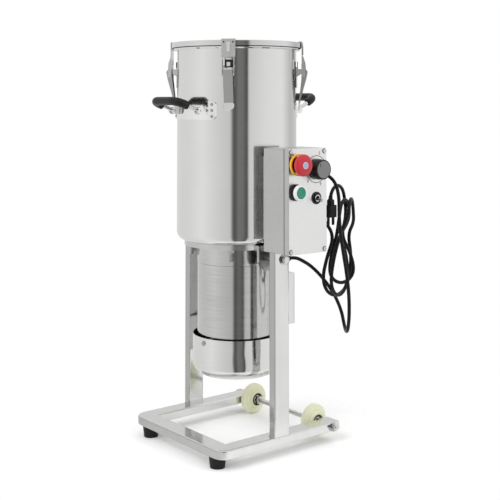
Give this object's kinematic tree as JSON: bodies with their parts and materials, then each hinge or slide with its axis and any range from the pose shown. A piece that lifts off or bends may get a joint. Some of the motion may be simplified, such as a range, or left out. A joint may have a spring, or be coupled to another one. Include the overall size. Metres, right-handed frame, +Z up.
{
  "type": "tilting vertical crusher",
  "caption": "Tilting vertical crusher: lidded steel barrel with toggle latches and bail handles over a blade motor, cradled between two uprights on a U base with wheels and a control box.",
  "frame": {"origin": "centre of the footprint at floor level, cords left out", "axes": "+Z up, +X towards the control box, -Y towards the front feet, where the barrel tips"},
  "size_m": [0.424, 0.3821, 0.8188],
  "materials": {
    "polished_steel": "mirror-polished stainless tube and bar",
    "brushed_steel": "brushed stainless sheet",
    "bright_fasteners": "bright nuts, bolts and pins",
    "satin_panel": "light satin sheet metal",
    "black_rubber": "matt black rubber",
    "black_plastic": "black moulded plastic",
    "red_plastic": "red moulded plastic",
    "green_plastic": "green moulded plastic",
    "nylon": "cream nylon",
    "cord": "black rubber sheath",
    "motor_iron": "motor laminations and castings",
    "gasket": "black seal rubber"
  },
  "bodies": {
    "frame": {"base_frame": "polished_steel", "left_upright": "polished_steel", "right_upright": "polished_steel", "tube_plugs": "black_plastic", "rubber_feet": "black_rubber", "wheel_axle": "polished_steel", "axle_nuts": "bright_fasteners", "pivot_bolts": "bright_fasteners", "pivot_spacers": "bright_fasteners", "control_box": "satin_panel", "control_panel": "satin_panel", "panel_screws": "bright_fasteners", "speed_controller": "black_plastic", "estop_body": "black_plastic", "button_housing": "black_plastic", "potentiometer": "black_plastic", "toggle_body": "bright_fasteners", "cable_glands": "black_rubber", "motor_lead": "cord", "supply_lead": "cord", "supply_hank": "cord", "plug": "black_rubber"},
    "vessel": {"cradle": "brushed_steel", "barrel": "brushed_steel", "lid": "brushed_steel", "lid_gasket": "gasket", "seal_housing": "brushed_steel", "body_fasteners": "bright_fasteners", "motor_end_shields": "brushed_steel", "motor_housing": "brushed_steel", "terminal_box": "brushed_steel", "lower_cup": "brushed_steel", "motor_bearings": "bright_fasteners", "stator": "motor_iron", "latch_brackets": "brushed_steel", "handle_plates": "brushed_steel"},
    "rotor": {"rotor_core": "motor_iron", "drive_shaft": "bright_fasteners", "cooling_fan": "black_plastic", "blade_set": "brushed_steel"},
    "left_wheel": {"left_wheel": "nylon"},
    "right_wheel": {"right_wheel": "nylon"},
    "front_handle": {"front_bail": "polished_steel", "front_grip": "black_rubber"},
    "rear_handle": {"rear_bail": "polished_steel", "rear_grip": "black_rubber"},
    "estop_stem": {"estop_stem": "black_plastic"},
    "estop_cap": {"estop_cap": "red_plastic"},
    "green_button": {"green_button": "green_plastic"},
    "speed_knob": {"speed_knob": "black_plastic"},
    "toggle_lever": {"toggle_lever": "bright_fasteners"},
    "tilt_lock_knob": {"tilt_lock_knob": "black_plastic"},
    "lever_front_right": {"latch_lever_front_right": "brushed_steel"},
    "hook_front_right": {"latch_hook_front_right": "brushed_steel"},
    "lever_rear_right": {"latch_lever_rear_right": "brushed_steel"},
    "hook_rear_right": {"latch_hook_rear_right": "brushed_steel"},
    "lever_rear_left": {"latch_lever_rear_left": "brushed_steel"},
    "hook_rear_left": {"latch_hook_rear_left": "brushed_steel"},
    "lever_front_left": {"latch_lever_front_left": "brushed_steel"},
    "hook_front_left": {"latch_hook_front_left": "brushed_steel"}
  },
  "joints": [
    {"name": "barrel_tilt", "type": "hinge", "parent": "frame", "child": "vessel", "pos_m": [-0.045, 0, 0.3825], "axis": [1, 0, 0], "range_deg": [0, 100]},
    {"name": "rotor_spin", "type": "hinge", "parent": "vessel", "child": "rotor", "pos_m": [-0.045, 0, 0.3], "axis": [0, 0, 1], "continuous": true},
    {"name": "latch_front_right", "type": "hinge", "parent": "vessel", "child": "lever_front_right", "pos_m": [0.05506, -0.10006, 0.757], "axis": [-0.7071, -0.7071, 0], "range_deg": [0, 120]},
    {"name": "hook_front_right", "type": "hinge", "parent": "lever_front_right", "child": "hook_front_right", "pos_m": [0.05506, -0.10006, 0.7475], "axis": [-0.7071, -0.7071, 0], "range_deg": [-144, 0]},
    {"name": "latch_rear_right", "type": "hinge", "parent": "vessel", "child": "lever_rear_right", "pos_m": [0.05506, 0.10006, 0.757], "axis": [0.7071, -0.7071, 0], "range_deg": [0, 120]},
    {"name": "hook_rear_right", "type": "hinge", "parent": "lever_rear_right", "child": "hook_rear_right", "pos_m": [0.05506, 0.10006, 0.7475], "axis": [0.7071, -0.7071, 0], "range_deg": [-144, 0]},
    {"name": "latch_rear_left", "type": "hinge", "parent": "vessel", "child": "lever_rear_left", "pos_m": [-0.14506, 0.10006, 0.757], "axis": [0.7071, 0.7071, 0], "range_deg": [0, 120]},
    {"name": "hook_rear_left", "type": "hinge", "parent": "lever_rear_left", "child": "hook_rear_left", "pos_m": [-0.14506, 0.10006, 0.7475], "axis": [0.7071, 0.7071, 0], "range_deg": [-144, 0]},
    {"name": "latch_front_left", "type": "hinge", "parent": "vessel", "child": "lever_front_left", "pos_m": [-0.14506, -0.10006, 0.757], "axis": [-0.7071, 0.7071, 0], "range_deg": [0, 120]},
    {"name": "hook_front_left", "type": "hinge", "parent": "lever_front_left", "child": "hook_front_left", "pos_m": [-0.14506, -0.10006, 0.7475], "axis": [-0.7071, 0.7071, 0], "range_deg": [-144, 0]},
    {"name": "front_handle_fold", "type": "hinge", "parent": "vessel", "child": "front_handle", "pos_m": [-0.045, -0.1295, 0.676], "axis": [1, 0, 0], "range_deg": [-15, 80]},
    {"name": "rear_handle_fold", "type": "hinge", "parent": "vessel", "child": "rear_handle", "pos_m": [-0.045, 0.1295, 0.676], "axis": [-1, 0, 0], "range_deg": [-15, 80]},
    {"name": "left_wheel_roll", "type": "hinge", "parent": "frame", "child": "left_wheel", "pos_m": [-0.1465, 0.13, 0.032], "axis": [1, 0, 0], "continuous": true},
    {"name": "right_wheel_roll", "type": "hinge", "parent": "frame", "child": "right_wheel", "pos_m": [0.052, 0.13, 0.032], "axis": [1, 0, 0], "continuous": true},
    {"name": "estop_press", "type": "slide", "parent": "frame", "child": "estop_stem", "axis": [-1, 0, 0], "range_m": [0, 0.004], "stiffness_N_per_m": 900, "springref_m": -0.002},
    {"name": "estop_twist", "type": "hinge", "parent": "estop_stem", "child": "estop_cap", "pos_m": [0.205, -0.036, 0.574], "axis": [1, 0, 0], "range_deg": [0, 45], "stiffness_Nm_per_rad": 0.05},
    {"name": "button_press", "type": "slide", "parent": "frame", "child": "green_button", "axis": [-1, 0, 0], "range_m": [0, 0.003], "stiffness_N_per_m": 500, "springref_m": -0.002},
    {"name": "speed_turn", "type": "hinge", "parent": "frame", "child": "speed_knob", "pos_m": [0.195, 0.019, 0.5635], "axis": [1, 0, 0], "range_deg": [0, 270]},
    {"name": "toggle_throw", "type": "hinge", "parent": "frame", "child": "toggle_lever", "pos_m": [0.178, 0.0185, 0.508], "axis": [0, -1, 0], "range_deg": [0, 24]},
    {"name": "lock_pull", "type": "slide", "parent": "vessel", "child": "tilt_lock_knob", "axis": [1, 0, 0], "range_m": [0, 0.006], "stiffness_N_per_m": 400, "springref_m": -0.003}
  ],
  "couplings": [
    {"joint": "hook_front_right", "follows": "latch_front_right", "ratio": -1.2},
    {"joint": "hook_rear_right", "follows": "latch_rear_right", "ratio": -1.2},
    {"joint": "hook_rear_left", "follows": "latch_rear_left", "ratio": -1.2},
    {"joint": "hook_front_left", "follows": "latch_front_left", "ratio": -1.2}
  ]
}
